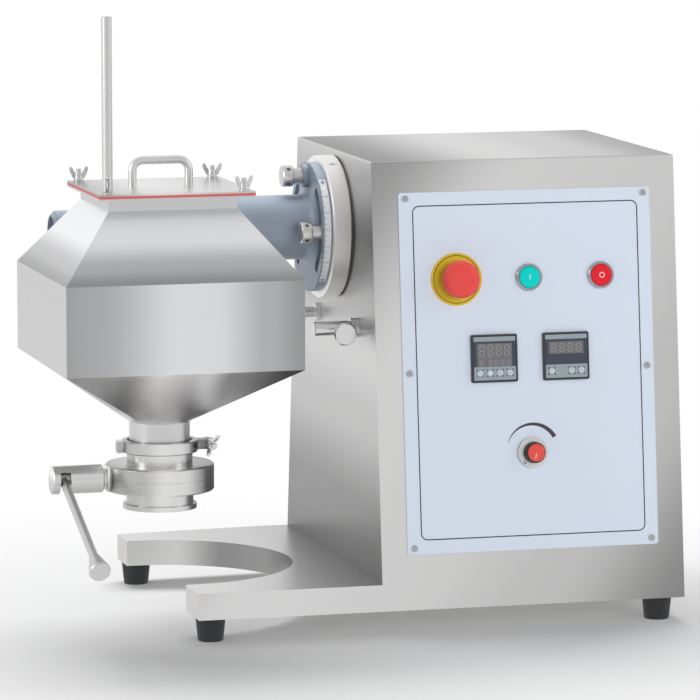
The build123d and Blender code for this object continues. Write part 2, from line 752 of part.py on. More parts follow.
def square(side, z):
    return Plane(origin=(vessel_x, vessel_y, z)) * Rectangle(side, side)


def square_wire(side, z, x, y):
    h = side / 2
    return Wire.make_polygon([(x - h, y - h, z), (x + h, y - h, z), (x + h, y + h, z), (x - h, y + h, z)], close=True)


def round_wire(radius, z, x, y):
    centre = Plane(origin=(x, y, z))
    arcs = [
        (centre * CenterArc((0, 0), radius, 225 + 90 * k, 90)).edge() for k in range(4)
    ]
    return Wire(arcs)


def hopper(inset):
    side = belt - 2 * inset
    body = loft([square(side, belt_high), square(neck - 2 * inset, neck_z)])
    body += extrude(square(side, belt_low), amount=belt_h)
    body += extrude(square(neck - 2 * inset, neck_z), amount=collar_h + (1 if inset else 0))
    cone = Solid.make_loft(
        [
            round_wire(outlet_r - inset * outlet_wall / vessel_wall, cone_z, vessel_x, vessel_y),
            square_wire(side, belt_low, vessel_x, vessel_y),
        ],
        True,
    )
    return body + cone


vessel = hopper(0) - hopper(vessel_wall)
vessel += ring((vessel_x, vessel_y, tube_end), (0, 0, 1), outlet_r, bore_r, cone_z - tube_end)
vessel += ring((vessel_x, vessel_y, tube_end), (0, 0, 1), ferrule_r, bore_r, ferrule_t)
lid_cx = vessel_x + lid_shift
rim = Pos(lid_cx, vessel_y, rim_z) * Box(lid_x, lid_y, rim_t, align=(Align.CENTER, Align.CENTER, Align.MIN))
opening = neck - 2 * vessel_wall
rim -= Pos(vessel_x, vessel_y, rim_z) * Box(opening, opening, 20)
vessel += rim
stud_spots = {
    "rear_left": (lid_cx - stud_x, vessel_y + stud_y),
    "rear_right": (lid_cx + stud_x, vessel_y + stud_y),
    "front_right": (lid_cx + stud_x, vessel_y - stud_y),
    "front_left": (lid_cx - stud_x, vessel_y - stud_y),
}
gasket_z = rim_z + rim_t
lid_z = gasket_z + gasket_t
lid_top = lid_z + lid_t
for x, y in stud_spots.values():
    vessel += rod((x, y, rim_z), (0, 0, 1), lid_stud_r, lid_top + lid_stud_h - rim_z)
vessel += rod((vessel_x, vessel_back - 1, spin_z), (0, 1, 0), pad_r, pad_t + 1)
for k in range(6):
    a = pi * k / 3
    x = vessel_x + carry_pcd * cos(a)
    z = spin_z + carry_pcd * sin(a)
    vessel -= rod((x, vessel_back + 0.5, z), (0, 1, 0), carry_r + fit_gap, pad_t + 2)
nodes["vessel_shell"] = vessel
nodes["carrier_screws"] = Compound(
    [
        rod(
            (vessel_x + carry_pcd * cos(pi * k / 3), carry_y - 4, spin_z + carry_pcd * sin(pi * k / 3)),
            (0, 1, 0),
            carry_r,
            out_flange_t + 4,
        )
        for k in range(6)
    ]
)

gasket = Pos(lid_cx, vessel_y, gasket_z) * Box(
    lid_x, lid_y, gasket_t, align=(Align.CENTER, Align.CENTER, Align.MIN)
)
gasket -= Pos(vessel_x, vessel_y, gasket_z) * Box(opening, opening, 20)
lid = Pos(lid_cx, vessel_y, lid_z) * Box(lid_x, lid_y, lid_t, align=(Align.CENTER, Align.CENTER, Align.MIN))
for x, y in stud_spots.values():
    gasket -= rod((x, y, gasket_z - 1), (0, 0, 1), lid_stud_r + 0.4, 20)
    lid -= rod((x, y, lid_z - 1), (0, 0, 1), lid_stud_r + 0.4, 20)
nodes["lid_gasket"] = gasket
handle_span = 60.0
handle_h = 27.0
handle_r = 4.4
handle_path = FilletPolyline(
    (lid_cx - handle_span / 2, vessel_y, lid_top - 0.5),
    (lid_cx - handle_span / 2, vessel_y, lid_top + handle_h),
    (lid_cx + handle_span / 2, vessel_y, lid_top + handle_h),
    (lid_cx + handle_span / 2, vessel_y, lid_top - 0.5),
    radius=11,
)
handle = sweep(
    Plane(origin=(lid_cx - handle_span / 2, vessel_y, lid_top - 0.5), z_dir=(0, 0, 1)) * Circle(handle_r),
    path=handle_path,
)
nodes["lid_plate"] = lid + handle

# four wing nuts on the lid studs
wing_span = 10.5
wing_top = 15.0
nut_r = 4.6


def wing_nut(turn):
    body = turned(
        Plane.XY,
        [(lid_stud_r + fit_gap, 0), (5.4, 0), (5.4, 1.6), (nut_r, 2.6), (nut_r - 0.4, 8.5), (lid_stud_r + fit_gap, 8.5)],
    )
    for side in (1, -1):
        wing = extrude(
            Plane.XZ
            * make_face(
                Polyline(
                    (side * 3.4, 2.6),
                    (side * 6.2, 3.2),
                    (side * 9.2, 9.0),
                    (side * wing_span, 12.8),
                    (side * 9.6, wing_top),
                    (side * 7.6, wing_top),
                    (side * 6.2, 12.0),
                    (side * 3.4, 8.0),
                    close=True,
                )
            ),
            1.1,
            both=True,
        )
        body += wing
    return Rot(0, 0, turn) * body


wing_turns = {"rear_left": 8, "rear_right": -6, "front_right": 20, "front_left": 75}
for name, (x, y) in stud_spots.items():
    nodes["wing_nut_" + name] = Pos(x, y, lid_top) * wing_nut(wing_turns[name])

# tall slotted tube key, standing over the front left wing nut
key_r = 5.4
key_bore = 4.9
key_low = 2.4
key_top = 181.5
key_x, key_y = stud_spots["front_left"]
key = rod((key_x, key_y, lid_top + key_low), (0, 0, 1), key_r, key_top - key_low)
key = fillet(key.edges().group_by(Axis.Z)[-1], 1.0)
key -= rod((key_x, key_y, lid_top), (0, 0, 1), key_bore, 21)
key -= Pos(key_x, key_y, lid_top) * Rot(0, 0, wing_turns["front_left"]) * Box(
    20, 3.0, 17, align=(Align.CENTER, Align.CENTER, Align.MIN)
)
nodes["nut_key"] = key

# outlet clamp, in two halves round a pair of ferrules with a seal between them
seal_low = ferrule_z - seal_t / 2
nodes["outlet_seal"] = ring((vessel_x, vessel_y, seal_low), (0, 0, 1), ferrule_r - 1.5, bore_r, seal_t)
band_low = ferrule_z - band_h / 2
groove = 2 * ferrule_t + seal_t + 0.3
lip_r = outlet_r + 0.7
band = rod((vessel_x, vessel_y, band_low), (0, 0, 1), band_r, band_h)
band = chamfer(band.edges().filter_by(GeomType.CIRCLE), 0.8)
band -= rod((vessel_x, vessel_y, band_low - 1), (0, 0, 1), lip_r + 2.2, band_h + 2)
band -= rod((vessel_x, vessel_y, ferrule_z - groove / 2), (0, 0, 1), ferrule_r + 0.3, groove)
split = 1.0
lug = 17.0
link_pin_r = 1.2
bolt_r = 2.7
hinge_x = vessel_x - band_r - 3
halves = {}
for name, side in (("front", -1), ("rear", 1)):
    keep = Pos(vessel_x, vessel_y + side * (100 + split / 2), ferrule_z) * Box(200, 200, 100)
    half = band & keep
    ear = block(
        vessel_x + ferrule_r + 0.8, vessel_x + band_r + lug,
        min(vessel_y + side * split / 2, vessel_y + side * 7), max(vessel_y + side * split / 2, vessel_y + side * 7),
        band_low + 1, band_low + band_h - 1,
    )
    hinge = block(
        vessel_x - band_r - 6, vessel_x - ferrule_r - 0.8,
        min(vessel_y + side * split / 2, vessel_y + side * 5), max(vessel_y + side * split / 2, vessel_y + side * 5),
        band_low + 1, band_low + band_h - 1,
    )
    half += ear + hinge
    bolt_x = vessel_x + band_r + lug - 4
    half -= rod((bolt_x, vessel_y - 30, ferrule_z), (0, 1, 0), bolt_r + fit_gap, 60)
    half -= rod((hinge_x, vessel_y + side * 2.7, band_low - 1), (0, 0, 1), link_pin_r + fit_gap, 20)
    halves[name] = half
nodes["clamp_half_front"] = halves["front"]
nodes["clamp_half_rear"] = halves["rear"]
link = rod((hinge_x, vessel_y - 2.7, band_low), (0, 0, 1), link_pin_r, band_h)
link += rod((hinge_x, vessel_y + 2.7, band_low), (0, 0, 1), link_pin_r, band_h)
for z0 in (band_low - 0.6, band_low + band_h - 1.0):
    link += block(hinge_x - 3, hinge_x + 3, vessel_y - 5, vessel_y + 5, z0, z0 + 1.6)
nodes["clamp_hinge_link"] = link
nodes["clamp_bolt"] = rod((bolt_x, vessel_y - 26, ferrule_z), (0, 1, 0), bolt_r, 33)
nodes["clamp_bolt"] += rod((bolt_x, vessel_y + 7, ferrule_z), (0, 1, 0), 5.5, 4)
clamp_nut = Cone(5.6, 4.6, 12, align=(Align.CENTER, Align.CENTER, Align.MIN))
for side in (1, -1):
    clamp_nut += extrude(
        Plane.XZ
        * make_face(
            Polyline(
                (side * 3.6, 3.4),
                (side * 7.0, 4.6),
                (side * 12.0, 10.5),
                (side * 12.4, 15.0),
                (side * 9.0, 15.0),
                (side * 3.6, 9.5),
                close=True,
            )
        ),
        1.4,
        both=True,
    )
clamp_nut -= Cylinder(bolt_r + fit_gap, 60)
nodes["clamp_wing_nut"] = Plane(
    origin=(bolt_x, vessel_y - 7.1, ferrule_z), x_dir=(0.5, 0, 0.8660254), z_dir=(0, -1, 0)
) * clamp_nut

# butterfly valve: two body halves, disc on a cross stem, lever gear at the left
seam = (valve_top + valve_low) / 2
upper = rod((vessel_x, vessel_y, seam), (0, 0, 1), valve_r, valve_top - seam)
upper = chamfer(upper.edges().group_by(Axis.Z)[-1], 1.5)
upper += rod((vessel_x, vessel_y, valve_top), (0, 0, 1), stub_r, seal_low - valve_top - ferrule_t)
upper += rod((vessel_x, vessel_y, seal_low - ferrule_t), (0, 0, 1), ferrule_r, ferrule_t)
lower = rod((vessel_x, vessel_y, valve_low), (0, 0, 1), valve_r, seam - valve_low)
lower = chamfer(lower.edges().group_by(Axis.Z)[0], 1.5)
lower += rod((vessel_x, vessel_y, outlet_z), (0, 0, 1), spigot_r, valve_low - outlet_z)
lower += rod((vessel_x, vessel_y, outlet_z), (0, 0, 1), end_flange_r, end_flange_t)
bore = rod((vessel_x, vessel_y, outlet_z - 5), (0, 0, 1), bore_r, ferrule_z - outlet_z + 10)
seat_r = 33.0
seat_half = 6.0
seat_in = bore_r - 0.4
pocket = rod((vessel_x, vessel_y, seam - seat_half), (0, 0, 1), seat_r + fit_gap, 2 * seat_half)
stem_r = 5.0
stem_end = 50.0
stem = rod(
    (vessel_x - valve_r - 1, vessel_y, seam), (1, 0, 0), stem_r + fit_gap, valve_r + 1 + stem_end
)
nodes["valve_body_upper"] = upper - bore - pocket - stem
nodes["valve_body_lower"] = lower - bore - pocket - stem
seat = ring((vessel_x, vessel_y, seam - seat_half), (0, 0, 1), seat_r, seat_in, 2 * seat_half)
nodes["valve_seat"] = seat - stem
disc_half = 3.0
vane_gap = 0.1
act_r = 15.0
act_end = -339.0
act_in = -285.0
lever_px = -326.0
vane = rod((vessel_x, vessel_y, seam - disc_half / 2), (0, 0, 1), seat_in - vane_gap, disc_half)
stem_in = vessel_x - bore_r + 0.2
nodes["valve_disc"] = vane + rod(
    (stem_in, vessel_y, seam), (1, 0, 0), stem_r, vessel_x + stem_end - 0.5 - stem_in
)
block_in = vessel_x - valve_r + 2
act = rod((act_end, vessel_y, seam), (1, 0, 0), act_r, act_in - act_end)
act = chamfer(act.edges().filter_by(GeomType.CIRCLE), 1.0)
act += rod((act_in, vessel_y, seam), (1, 0, 0), 10.0, 4)
yoke = block(act_in + 4, block_in + 6, vessel_y - 12, vessel_y + 12, seam - 13, seam + 13)
act += yoke
act -= rod((vessel_x, vessel_y, outlet_z), (0, 0, 1), valve_r + run_gap, ferrule_z - outlet_z)
act -= rod((act_end + 4, vessel_y, seam), (1, 0, 0), stem_r + 2.0 + fit_gap, 90)
slot_w = 11.0
act -= (
    rod((lever_px - slot_w / 2, vessel_y, seam), (1, 0, 0), act_r + 2, slot_w)
    & block(lever_px - 20, lever_px + 20, vessel_y - 40, vessel_y + 12, seam - 40, seam + 9)
)
nodes["valve_actuator"] = act
lever_tilt = radians(21.0)
knob_l = 35.0
knob_face_r = 9.8
lever_way = (0, -cos(lever_tilt), -sin(lever_tilt))
# the lever reaches as far forward as the base reaches back
lever_rod = (
    cabinet_y + base_depth / 2 + vessel_y - knob_face_r * sin(lever_tilt)
) / cos(lever_tilt) - knob_l
axle = rod((act_end + 5, vessel_y, seam), (1, 0, 0), stem_r + 2.0, act_in + 3 - act_end - 5)
axle += rod((act_in, vessel_y, seam), (1, 0, 0), stem_r, stem_in - act_in)
nodes["valve_lever"] = axle + rod((lever_px, vessel_y, seam), lever_way, 4.6, lever_rod)
nodes["lever_knob"] = Plane(
    origin=(lever_px, vessel_y + lever_rod * lever_way[1], seam + lever_rod * lever_way[2]),
    z_dir=lever_way,
) * turned(
    Plane.XY,
    [(0, 0), (4.6, 0), (6.2, 8), (10.0, 26), (11.0, 31), (11.0, knob_l - 2), (knob_face_r, knob_l), (0, knob_l)],
)

for name, shape in nodes.items():
    export_step(shape if isinstance(shape, Compound) else Compound([shape]), f"parts/{name}.step")
print(len(nodes), "nodes")
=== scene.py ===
import bmesh
import bpy
import json
from math import atan, cos, degrees, pi, radians, sin
from mathutils import Matrix, Vector

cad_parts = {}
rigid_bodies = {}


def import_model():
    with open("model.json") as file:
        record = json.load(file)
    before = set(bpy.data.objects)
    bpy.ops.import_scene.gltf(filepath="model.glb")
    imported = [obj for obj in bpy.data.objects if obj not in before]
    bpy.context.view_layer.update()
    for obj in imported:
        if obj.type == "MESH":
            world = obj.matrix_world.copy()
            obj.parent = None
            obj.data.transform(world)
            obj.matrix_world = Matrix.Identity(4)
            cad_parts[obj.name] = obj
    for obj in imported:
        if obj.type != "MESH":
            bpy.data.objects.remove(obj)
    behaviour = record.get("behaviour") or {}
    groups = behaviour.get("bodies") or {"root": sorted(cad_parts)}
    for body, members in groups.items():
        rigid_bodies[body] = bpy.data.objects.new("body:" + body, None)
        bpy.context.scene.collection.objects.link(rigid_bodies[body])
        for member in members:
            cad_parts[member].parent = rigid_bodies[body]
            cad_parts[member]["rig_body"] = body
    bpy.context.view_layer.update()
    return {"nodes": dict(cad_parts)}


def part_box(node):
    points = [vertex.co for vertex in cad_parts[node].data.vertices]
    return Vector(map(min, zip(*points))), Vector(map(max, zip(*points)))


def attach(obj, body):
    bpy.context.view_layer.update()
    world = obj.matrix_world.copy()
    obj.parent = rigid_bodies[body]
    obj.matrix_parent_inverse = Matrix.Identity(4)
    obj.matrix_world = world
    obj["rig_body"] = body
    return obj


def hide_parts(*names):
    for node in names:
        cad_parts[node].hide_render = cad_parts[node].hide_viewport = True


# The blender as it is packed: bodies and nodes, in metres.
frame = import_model()
nodes = frame["nodes"]
scene = bpy.context.scene
scene.view_settings.view_transform = "Standard"

# Camera: a long lens in front of the machine, a little to the left and above,
# looking at the front panel and at the left wall at the same time.
camera_data = bpy.data.cameras.new("camera")
camera_data.sensor_fit = "HORIZONTAL"
camera_data.sensor_width = 36.0
camera_data.lens = 263.3
camera_data.clip_end = 60.0
camera = bpy.data.objects.new("camera", camera_data)
scene.collection.objects.link(camera)
camera.matrix_world = Matrix((
    (0.96519474, 0.03439022, -0.25926132, -1.41596),
    (-0.26153225, 0.12691843, -0.95681377, -5.26349),
    (0.0, 0.99131681, 0.13149515, 1.01132),
    (0.0, 0.0, 0.0, 1.0),
))
scene.camera = camera

# Studio: a pale floor that keeps the soft shadow of the machine and runs out into
# white, with large soft boxes above and behind, in front, and at both sides.
floor_mesh = bpy.data.meshes.new("floor")
floor_bm = bmesh.new()
bmesh.ops.create_grid(floor_bm, x_segments=1, y_segments=1, size=9.0)
floor_bm.to_mesh(floor_mesh)
floor_bm.free()
floor = bpy.data.objects.new("floor", floor_mesh)
scene.collection.objects.link(floor)
floor_paint = bpy.data.materials.new("floor_paint")
floor_paint.use_nodes = True
tree = floor_paint.node_tree
paint = tree.nodes["Principled BSDF"]
paint.inputs["Base Color"].default_value = (0.62, 0.62, 0.62, 1)
paint.inputs["Roughness"].default_value = 0.9
paint.inputs["Specular IOR Level"].default_value = 0.0
glow = tree.nodes.new("ShaderNodeEmission")
place = tree.nodes.new("ShaderNodeTexCoord")
reach = tree.nodes.new("ShaderNodeVectorMath")
reach.operation = "LENGTH"
tree.links.new(place.outputs["Object"], reach.inputs[0])
fade = tree.nodes.new("ShaderNodeMapRange")
fade.inputs["From Min"].default_value = 0.30
fade.inputs["From Max"].default_value = 0.80
fade.inputs["To Min"].default_value = 0.10
fade.inputs["To Max"].default_value = 1.0
tree.links.new(reach.outputs["Value"], fade.inputs["Value"])
path = tree.nodes.new("ShaderNodeLightPath")
seen = tree.nodes.new("ShaderNodeMath")
seen.operation = "MULTIPLY"
tree.links.new(path.outputs["Is Camera Ray"], seen.inputs[0])
tree.links.new(fade.outputs["Result"], seen.inputs[1])
lift = tree.nodes.new("ShaderNodeMath")
lift.operation = "MULTIPLY_ADD"
tree.links.new(path.outputs["Is Glossy Ray"], lift.inputs[0])
lift.inputs[1].default_value = 0.85
tree.links.new(seen.outputs[0], lift.inputs[2])
both = tree.nodes.new("ShaderNodeMixShader")
tree.links.new(lift.outputs[0], both.inputs[0])
tree.links.new(paint.outputs[0], both.inputs[1])
tree.links.new(glow.outputs[0], both.inputs[2])
tree.links.new(both.outputs[0], tree.nodes["Material Output"].inputs["Surface"])
floor_mesh.materials.append(floor_paint)

world = bpy.data.worlds.new("studio")
world.use_nodes = True
scene.world = world
tree = world.node_tree
backdrop = tree.nodes["Background"]
backdrop.inputs["Color"].default_value = (1, 1, 1, 1)
room = tree.nodes.new("ShaderNodeBackground")
place = tree.nodes.new("ShaderNodeTexCoord")
split = tree.nodes.new("ShaderNodeSeparateXYZ")
tree.links.new(place.outputs["Generated"], split.inputs[0])
ramp = tree.nodes.new("ShaderNodeValToRGB")
ramp.color_ramp.elements[0].position = 0.0
ramp.color_ramp.elements[0].color = (0.62, 0.62, 0.62, 1)
ramp.color_ramp.elements[1].position = 0.9
ramp.color_ramp.elements[1].color = (0.30, 0.31, 0.32, 1)
tree.links.new(split.outputs["Z"], ramp.inputs[0])
tree.links.new(ramp.outputs[0], room.inputs["Color"])
room.inputs["Strength"].default_value = 0.8
path = tree.nodes.new("ShaderNodeLightPath")
depth = tree.nodes.new("ShaderNodeMapRange")
depth.inputs["From Min"].default_value = -1.0
depth.inputs["To Min"].default_value = 0.45
tree.links.new(split.outputs["Y"], depth.inputs["Value"])
mirrored = tree.nodes.new("ShaderNodeMath")
mirrored.operation = "MULTIPLY_ADD"
mirrored.use_clamp = True
tree.links.new(path.outputs["Is Glossy Ray"], mirrored.inputs[0])
tree.links.new(depth.outputs["Result"], mirrored.inputs[1])
tree.links.new(path.outputs["Is Camera Ray"], mirrored.inputs[2])
seen = tree.nodes.new("ShaderNodeMixShader")
tree.links.new(mirrored.outputs[0], seen.inputs[0])
tree.links.new(room.outputs[0], seen.inputs[1])
tree.links.new(backdrop.outputs[0], seen.inputs[2])
tree.links.new(seen.outputs[0], tree.nodes["World Output"].inputs["Surface"])


def soft_box(name, place, aim, width, height, power, mirrored=True):
    lamp = bpy.data.lights.new(name, "AREA")
    lamp.shape = "RECTANGLE"
    lamp.size = width
    lamp.size_y = height
    lamp.energy = power
    box = bpy.data.objects.new(name, lamp)
    box.location = place
    box.rotation_euler = (Vector(aim) - Vector(place)).to_track_quat("-Z", "Y").to_euler()
    box.visible_glossy = mirrored
    scene.collection.objects.link(box)


soft_box("top_box", (0.0, 0.9, 2.2), (0.0, 0.0, 0.2), 2.2, 1.4, 64, mirrored=False)
soft_box("front_box", (0.6, -3.6, 1.0), (0.0, 0.0, 0.3), 1.8, 1.4, 46, mirrored=False)
soft_box("left_box", (-2.8, -0.6, 1.2), (0.0, 0.0, 0.3), 1.0, 1.6, 16)
soft_box("right_box", (2.6, -1.8, 1.4), (0.1, 0.0, 0.3), 1.0, 1.6, 7)


# Cabinet, base plate and back cover: folded stainless sheet, brushed and welded.
# The brush lines run level, and the folds catch the light along the edges.
def brushed(name, colour, roughness, grain, depth=0.15, spread=0.12):
    steel = bpy.data.materials.new(name)
    steel.use_nodes = True
    tree = steel.node_tree
    shader = tree.nodes["Principled BSDF"]
    shader.inputs["Metallic"].default_value = 1.0
    shader.inputs["Base Color"].default_value = (*colour, 1)
    place = tree.nodes.new("ShaderNodeTexCoord")
    stretch = tree.nodes.new("ShaderNodeMapping")
    stretch.inputs["Scale"].default_value = grain
    tree.links.new(place.outputs["Object"], stretch.inputs["Vector"])
    lines = tree.nodes.new("ShaderNodeTexNoise")
    lines.inputs["Scale"].default_value = 1.0
    lines.inputs["Detail"].default_value = 3.0
    tree.links.new(stretch.outputs[0], lines.inputs["Vector"])
    rough = tree.nodes.new("ShaderNodeMapRange")
    rough.inputs["To Min"].default_value = roughness - spread / 2
    rough.inputs["To Max"].default_value = roughness + spread / 2
    tree.links.new(lines.outputs["Fac"], rough.inputs["Value"])
    tree.links.new(rough.outputs[0], shader.inputs["Roughness"])
    relief = tree.nodes.new("ShaderNodeBump")
    relief.inputs["Strength"].default_value = depth
    relief.inputs["Distance"].default_value = 0.0002
    tree.links.new(lines.outputs["Fac"], relief.inputs["Height"])
    tree.links.new(relief.outputs[0], shader.inputs["Normal"])
    return steel


def dress(node, material):
    mesh = nodes[node].data
    mesh.materials.clear()
    mesh.materials.append(material)


def folded(node, material, radius, steps=3, angle=30):
    # the same solid with its edges rounded, to catch the light as real edges do
    source = nodes[node]
    mesh = source.data.copy()
    shape = bmesh.new()
    shape.from_mesh(mesh)
    bmesh.ops.remove_doubles(shape, verts=shape.verts, dist=0.00001)
    bmesh.ops.dissolve_limit(
        shape, angle_limit=radians(0.5), verts=shape.verts, edges=shape.edges
    )
    shape.to_mesh(mesh)
    shape.free()
    mesh.name = node + "_rounded"
    mesh.materials.clear()
    mesh.materials.append(material)
    piece = bpy.data.objects.new(node + "_rounded", mesh)
    scene.collection.objects.link(piece)
    mesh.polygons.foreach_set("use_smooth", [True] * len(mesh.polygons))
    mesh.set_sharp_from_angle(angle=radians(angle))
    rounding = piece.modifiers.new("rounding", "BEVEL")
    rounding.width = radius
    rounding.segments = steps
    rounding.limit_method = "ANGLE"
    rounding.angle_limit = radians(angle)
    rounding.harden_normals = True
    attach(piece, source["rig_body"])
    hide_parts(node)
    return piece


def keep(name, shape, place, body, material, angle=32):
    # a finished shape, put in its place and carried by a body
    bmesh.ops.remove_doubles(shape, verts=shape.verts, dist=0.000001)
    bmesh.ops.recalc_face_normals(shape, faces=shape.faces)
    bmesh.ops.transform(shape, matrix=place, verts=shape.verts)
    mesh = bpy.data.meshes.new(name)
    shape.to_mesh(mesh)
    shape.free()
    mesh.materials.append(material)
    mesh.polygons.foreach_set("use_smooth", [True] * len(mesh.polygons))
    mesh.set_sharp_from_angle(angle=radians(angle))
    piece = bpy.data.objects.new(name, mesh)
    scene.collection.objects.link(piece)
    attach(piece, body)
    return piece


def lathe(shape, outline, place=Matrix(), steps=96):
    # turns an outline of radius and height pairs round the local Z
    points = [shape.verts.new((r, 0, h)) for r, h in outline]
    lines = [shape.edges.new(pair) for pair in zip(points, points[1:])]
    made = bmesh.ops.spin(
        shape, geom=points + lines, cent=(0, 0, 0), axis=(0, 0, 1), angle=2 * pi,
        steps=steps, use_merge=True,
    )
    parts = {v for f in shape.faces if not f.tag for v in f.verts}
    for f in shape.faces:
        f.tag = True
    bmesh.ops.transform(shape, matrix=place, verts=list(parts))


def spun(name, outline, place, body, material, steps=96):
    shape = bmesh.new()
    lathe(shape, outline, Matrix(), steps)
    return keep(name, shape, place, body, material)


def graded(name, grain, way, start, end, tones, roughness=0.34, tint=(1.0, 0.99, 0.985)):
    # brushed sheet whose colour darkens and lightens softly along one direction: painted shade and painted reflection
    steel = brushed(name, (0.6, 0.6, 0.6), roughness, grain)
    tree = steel.node_tree
    place = tree.nodes.new("ShaderNodeTexCoord")
    along = tree.nodes.new("ShaderNodeVectorMath")
    along.operation = "DOT_PRODUCT"
    along.inputs[1].default_value = way
    tree.links.new(place.outputs["Object"], along.inputs[0])
    share = tree.nodes.new("ShaderNodeMapRange")
    share.inputs["From Min"].default_value = start
    share.inputs["From Max"].default_value = end
    tree.links.new(along.outputs["Value"], share.inputs["Value"])
    ramp = tree.nodes.new("ShaderNodeValToRGB")
    ramp.color_ramp.interpolation = "EASE"
    stops = ramp.color_ramp.elements
    while len(stops) < len(tones):
        stops.new(0.5)
    for stop, (position, tone) in zip(stops, tones):
        stop.position = position
        stop.color = (tone * tint[0], tone * tint[1], tone * tint[2], 1)
    tree.links.new(share.outputs["Result"], ramp.inputs[0])
    tree.links.new(ramp.outputs[0], tree.nodes["Principled BSDF"].inputs["Base Color"])
    return steel


def faced(piece, choices):
    # gives each side of a sheet piece its own brushed material with its own painted shade and painted reflection: the
    # first test that fits wins
    for material, _ in choices:
        piece.data.materials.append(material)
    for side in piece.data.polygons:
        for slot, (_, fits) in enumerate(choices, start=1):
            if fits(side.normal, side.center):
                side.material_index = slot
                break


cabinet_steel = brushed("cabinet_steel", (0.62, 0.61, 0.60), 0.36, (6, 6, 1400))
cut_centre = Vector((-0.181, 0.074))
shell = folded("cabinet_shell", cabinet_steel, 0.0012)
# Painted light on the shell sides: the base cut wall lightens at the left and darkens to the right in painted shade;
# the top and the front carry a bright painted reflection band and darken towards their ends; the left wall darkens at
# the bottom and in a painted shadow band at the disc's height; the base top darkens to the right.
faced(shell, (
    (
        graded("cut_steel", (6, 6, 1400), (1, 0, 0), -0.19, -0.04, ((0.0, 0.62), (0.35, 0.66), (0.7, 0.26), (1.0, 0.34))),
        lambda n, c: c.z < 0.055 and abs(n.z) < 0.1 and abs((c.xy - cut_centre).length - 0.142) < 0.003,
    ),
    (
        graded("top_steel", (6, 1400, 6), (1, 0, 0), 0.012, 0.348, ((0.0, 0.16), (0.45, 0.68), (0.75, 0.56), (1.0, 0.28))),
        lambda n, c: n.z > 0.9 and c.z > 0.3,
    ),
    (
        graded(
            "wall_steel", (6, 6, 1400), (0, 0, 1), 0.025, 0.498,
            ((0.0, 0.15), (0.2, 0.25), (0.42, 0.56), (0.55, 0.70), (0.68, 0.46), (0.82, 0.21), (0.93, 0.50), (1.0, 0.62)),
        ),
        lambda n, c: n.x < -0.9 and c.z > 0.06 and c.x > 0.0,
    ),
    (
        graded(
            "front_steel", (6, 6, 1400), (1.488, 0, -1.057), -0.5085, 0.4915,
            ((0.0, 0.40), (0.25, 0.82), (0.5, 0.76), (0.75, 0.64), (1.0, 0.30)),
        ),
        lambda n, c: n.y < -0.8,
    ),
    (
        graded("base_steel", (6, 1400, 6), (1, 0, 0), -0.188, 0.012, ((0.0, 0.72), (0.6, 0.60), (1.0, 0.50))),
        lambda n, c: n.z > 0.9 and c.z < 0.1,
    ),
))
dress("back_cover", cabinet_steel)
dress("base_plate", cabinet_steel)


# Feet: moulded rubber, tapered to the table with a soft lower edge.
# Matt black with a fine grain.
def plastic(name, colour, roughness, grain=900, depth=0.06, metal=0.0, shine=0.5):
    moulded = bpy.data.materials.new(name)
    moulded.use_nodes = True
    tree = moulded.node_tree
    shader = tree.nodes["Principled BSDF"]
    shader.inputs["Base Color"].default_value = (*colour, 1)
    shader.inputs["Metallic"].default_value = metal
    shader.inputs["Specular IOR Level"].default_value = shine
    place = tree.nodes.new("ShaderNodeTexCoord")
    speckle = tree.nodes.new("ShaderNodeTexNoise")
    speckle.inputs["Scale"].default_value = grain
    speckle.inputs["Detail"].default_value = 2.0
    tree.links.new(place.outputs["Object"], speckle.inputs["Vector"])
    rough = tree.nodes.new("ShaderNodeMapRange")
    rough.inputs["To Min"].default_value = roughness - 0.04
    rough.inputs["To Max"].default_value = roughness + 0.04
    tree.links.new(speckle.outputs["Fac"], rough.inputs["Value"])
    tree.links.new(rough.outputs[0], shader.inputs["Roughness"])
    relief = tree.nodes.new("ShaderNodeBump")
    relief.inputs["Strength"].default_value = depth
    relief.inputs["Distance"].default_value = 0.0002
    tree.links.new(speckle.outputs["Fac"], relief.inputs["Height"])
    tree.links.new(relief.outputs[0], shader.inputs["Normal"])
    return moulded


rubber = plastic("foot_rubber", (0.012, 0.013, 0.015), 0.6, 700, 0.2)
low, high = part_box("rubber_feet")
shape = bmesh.new()
for x, y in ((-0.171, -0.108), (-0.171, 0.246), (0.323, -0.108), (0.323, 0.260)):
    lathe(
        shape,
        [(0, 0), (0.0122, 0), (0.0131, 0.0004), (0.0136, 0.0014), (0.0160, 0.0248), (0.0160, 0.025), (0, 0.025)],
        Matrix.Translation((x, y, 0)),
        64,
    )
feet = keep("feet", shape, Matrix(), "cabinet", rubber)
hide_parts("rubber_feet")
dress("cable_gland", plastic("gland_black", (0.02, 0.02, 0.022), 0.5))

# Front panel: a thin plate with a smooth pale blue-white face and a printed thin
# line all round it, held by six cross-head screws.
lean = atan(51 / 473)
panel_face = Matrix((
    (1, 0, 0, 0.180),
    (0, sin(lean), -cos(lean), -0.10115),
    (0, cos(lean), sin(lean), 0.274),
    (0, 0, 0, 1),
))
panel_front = 0.0015
panel_white = plastic("panel_white", (0.75, 0.82, 0.94), 0.42, 250, 0.03)
folded("control_panel", panel_white, 0.0003)
print_black = plastic("print_black", (0.012, 0.012, 0.016), 0.5)
screw_steel = brushed("screw_steel", (0.50, 0.50, 0.50), 0.25, (300, 300, 300))
dress("cover_screws", screw_steel)


def on_panel(u, v, w=0.0):
    return panel_face @ Matrix.Translation((u, v, w))


